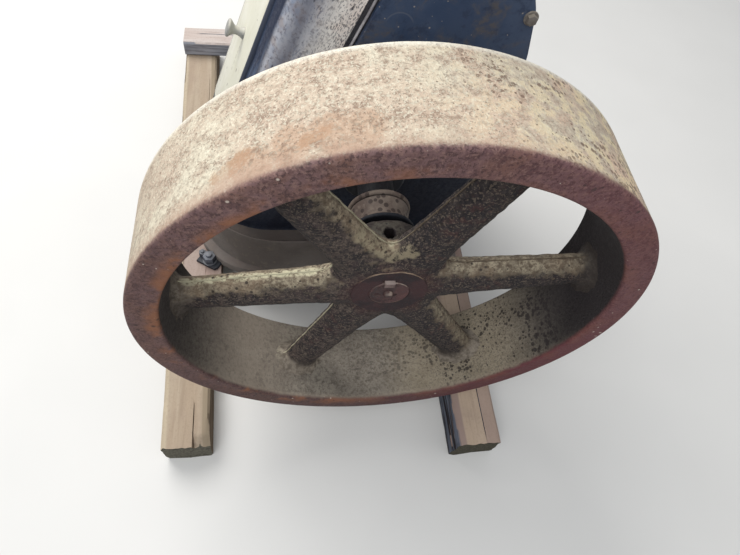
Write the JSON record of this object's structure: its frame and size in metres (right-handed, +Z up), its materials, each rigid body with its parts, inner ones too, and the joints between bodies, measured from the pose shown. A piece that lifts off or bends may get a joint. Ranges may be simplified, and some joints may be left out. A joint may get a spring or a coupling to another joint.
{
  "type": "stationary steam engine",
  "caption": "Upright enclosed stationary steam engine with a wide six-armed overhung flywheel, bolted on timber skids; the crankshaft and flywheel turn.",
  "frame": {"origin": "on the ground, under the middle of the whole engine and its skids", "axes": "+X across the crankshaft, +Y along the crankshaft away from the flywheel, +Z up"},
  "size_m": [1.102, 1.75, 1.603],
  "materials": {
    "skid_wood": "weathered sawn timber, grey brown, split at the ends",
    "packing_wood": "weathered softwood block",
    "grimy_iron": "cast iron under old paint, oil and dust",
    "dark_iron": "dark grey painted cast iron, dusty and pitted",
    "black_paint": "old black enamel with dust and scratches",
    "bead_strip": "pale worn sealing strip",
    "pale_paint": "old cream paint with grime at its edges",
    "weathered_metal": "weathered pale metal",
    "shaft_steel": "rusted machined steel",
    "rusty_iron": "pitted tan surface rust with red brown edges",
    "worn_pulley_iron": "belt-worn iron with light rust"
  },
  "bodies": {
    "engine": {"left_skid": "skid_wood", "right_skid": "skid_wood", "cross_timber": "skid_wood", "front_left_packing": "packing_wood", "front_right_packing": "packing_wood", "back_left_packing": "packing_wood", "back_right_packing": "packing_wood", "bedplate": "grimy_iron", "crankcase": "dark_iron", "front_panel": "black_paint", "front_panel_bead": "bead_strip", "back_panel": "black_paint", "left_cover": "pale_paint", "left_cover_knob": "weathered_metal", "right_cover": "pale_paint", "right_cover_knob": "weathered_metal", "near_bearing": "grimy_iron", "far_bearing": "grimy_iron", "guide_barrel": "dark_iron", "cylinder": "dark_iron", "cylinder_cover": "dark_iron", "steam_chest": "dark_iron", "steam_chest_cover": "dark_iron", "valve_rod": "shaft_steel", "valve_rod_guide": "grimy_iron", "steam_inlet": "grimy_iron", "exhaust_outlet": "grimy_iron"},
    "running_shaft": {"crankshaft": "shaft_steel", "flywheel": "rusty_iron", "flywheel_key": "shaft_steel", "governor_drive_pulley": "worn_pulley_iron"}
  },
  "joints": [
    {"name": "shaft_turn", "type": "hinge", "parent": "engine", "child": "running_shaft", "pos_m": [0.051, 0.01, 0.6], "axis": [0, 1, 0], "continuous": true}
  ]
}
